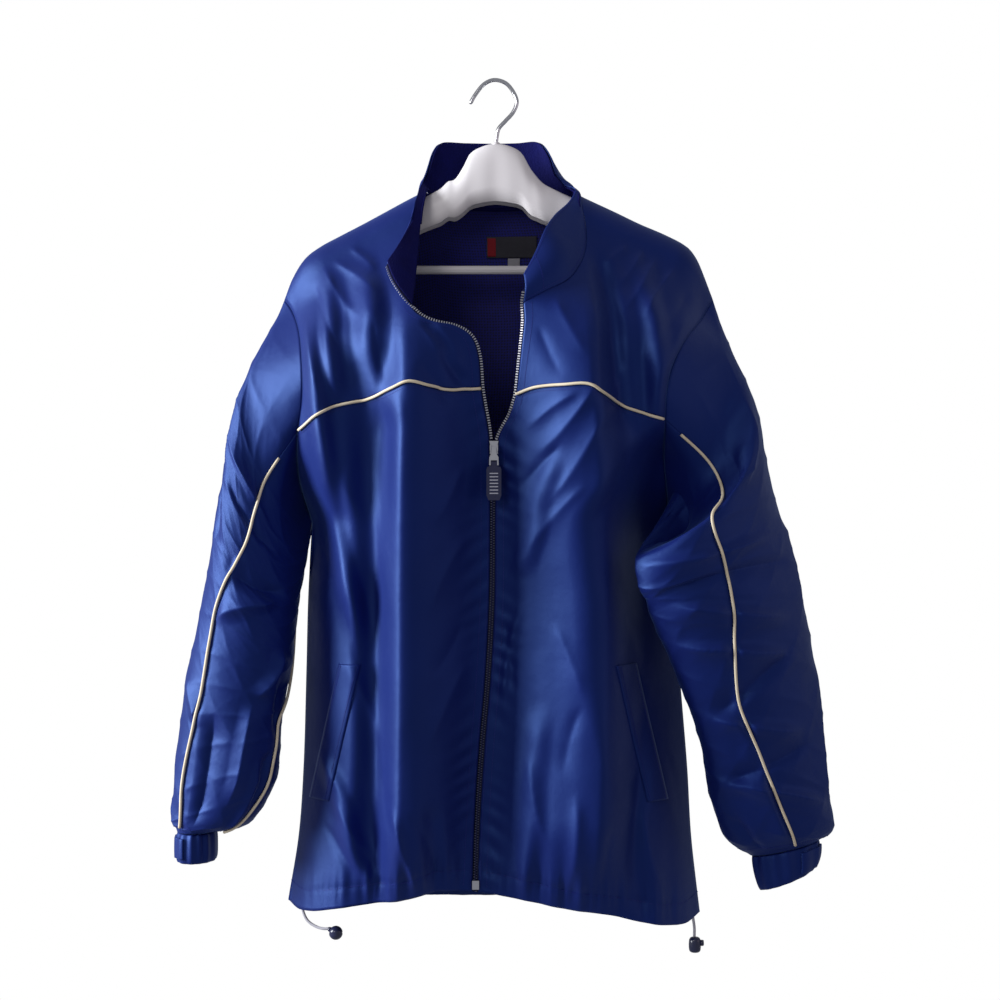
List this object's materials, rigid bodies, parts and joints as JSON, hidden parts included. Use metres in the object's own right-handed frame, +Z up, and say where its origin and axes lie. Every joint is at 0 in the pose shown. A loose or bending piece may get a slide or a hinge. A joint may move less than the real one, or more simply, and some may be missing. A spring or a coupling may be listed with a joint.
{
  "type": "windbreaker jacket on a hanger",
  "caption": "Light nylon windbreaker with a part-open front zip, stand collar, piped yoke and sleeve seams, welt pockets and hem drawcord, hung on a plastic hanger with a wire hook",
  "frame": {"origin": "inside of the hook's crown, where the hanger rests on whatever holds it up", "axes": "+Z up, the jacket's front faces -Y, the wearer's left is +X"},
  "size_m": [0.6835, 0.19, 0.917],
  "materials": {
    "shell_nylon": "shiny crinkled nylon, dark royal navy",
    "piping": "cream covered cord",
    "tricot": "dark brushed tricot",
    "mesh_lining": "dark open mesh",
    "label": "woven label, bare",
    "zip_tape": "woven tape",
    "zip_metal": "dull nickel",
    "tab_rubber": "dark moulded rubber",
    "elastic_cord": "light grey braided elastic",
    "toggle_plastic": "blue-black moulded plastic",
    "hook_chrome": "plated wire",
    "hanger_plastic": "white moulded plastic"
  },
  "bodies": {
    "garment": {"back": "shell_nylon", "back_lining": "mesh_lining", "collar": "shell_nylon", "collar_lining": "tricot", "cuff_left": "shell_nylon", "cuff_right": "shell_nylon", "cuff_strap_left": "shell_nylon", "cuff_strap_right": "shell_nylon", "drawcord_left": "elastic_cord", "drawcord_right": "elastic_cord", "front_left": "shell_nylon", "front_right": "shell_nylon", "hanger_bar": "hanger_plastic", "hanger_body": "hanger_plastic", "hanger_hook": "hook_chrome", "neck_label": "label", "piping_sleeve_a_left": "piping", "piping_sleeve_a_right": "piping", "piping_sleeve_b_left": "piping", "piping_sleeve_b_right": "piping", "piping_yoke_left": "piping", "piping_yoke_right": "piping", "pocket_welt_left": "shell_nylon", "pocket_welt_right": "shell_nylon", "size_tab": "label", "sleeve_back_left": "shell_nylon", "sleeve_back_right": "shell_nylon", "sleeve_front_left": "shell_nylon", "sleeve_front_right": "shell_nylon", "slider_cheek_left": "zip_metal", "slider_cheek_right": "zip_metal", "toggle_left": "toggle_plastic", "toggle_right": "toggle_plastic", "yoke_left": "shell_nylon", "yoke_right": "shell_nylon", "zip_chain": "zip_metal", "zip_slider": "zip_metal", "zip_tape_left": "zip_tape", "zip_tape_right": "zip_tape"},
    "puller": {"zip_puller": "zip_metal"},
    "tab": {"pull_tab": "tab_rubber"}
  },
  "joints": [
    {"name": "puller_swing", "type": "hinge", "parent": "garment", "child": "puller", "pos_m": [0.0012, -0.08568, -0.387], "axis": [-1, 0, 0], "range_deg": [0, 120]},
    {"name": "tab_swing", "type": "hinge", "parent": "puller", "child": "tab", "pos_m": [0.0012, -0.08568, -0.4022], "axis": [-1, 0, 0], "range_deg": [0, 60]}
  ]
}
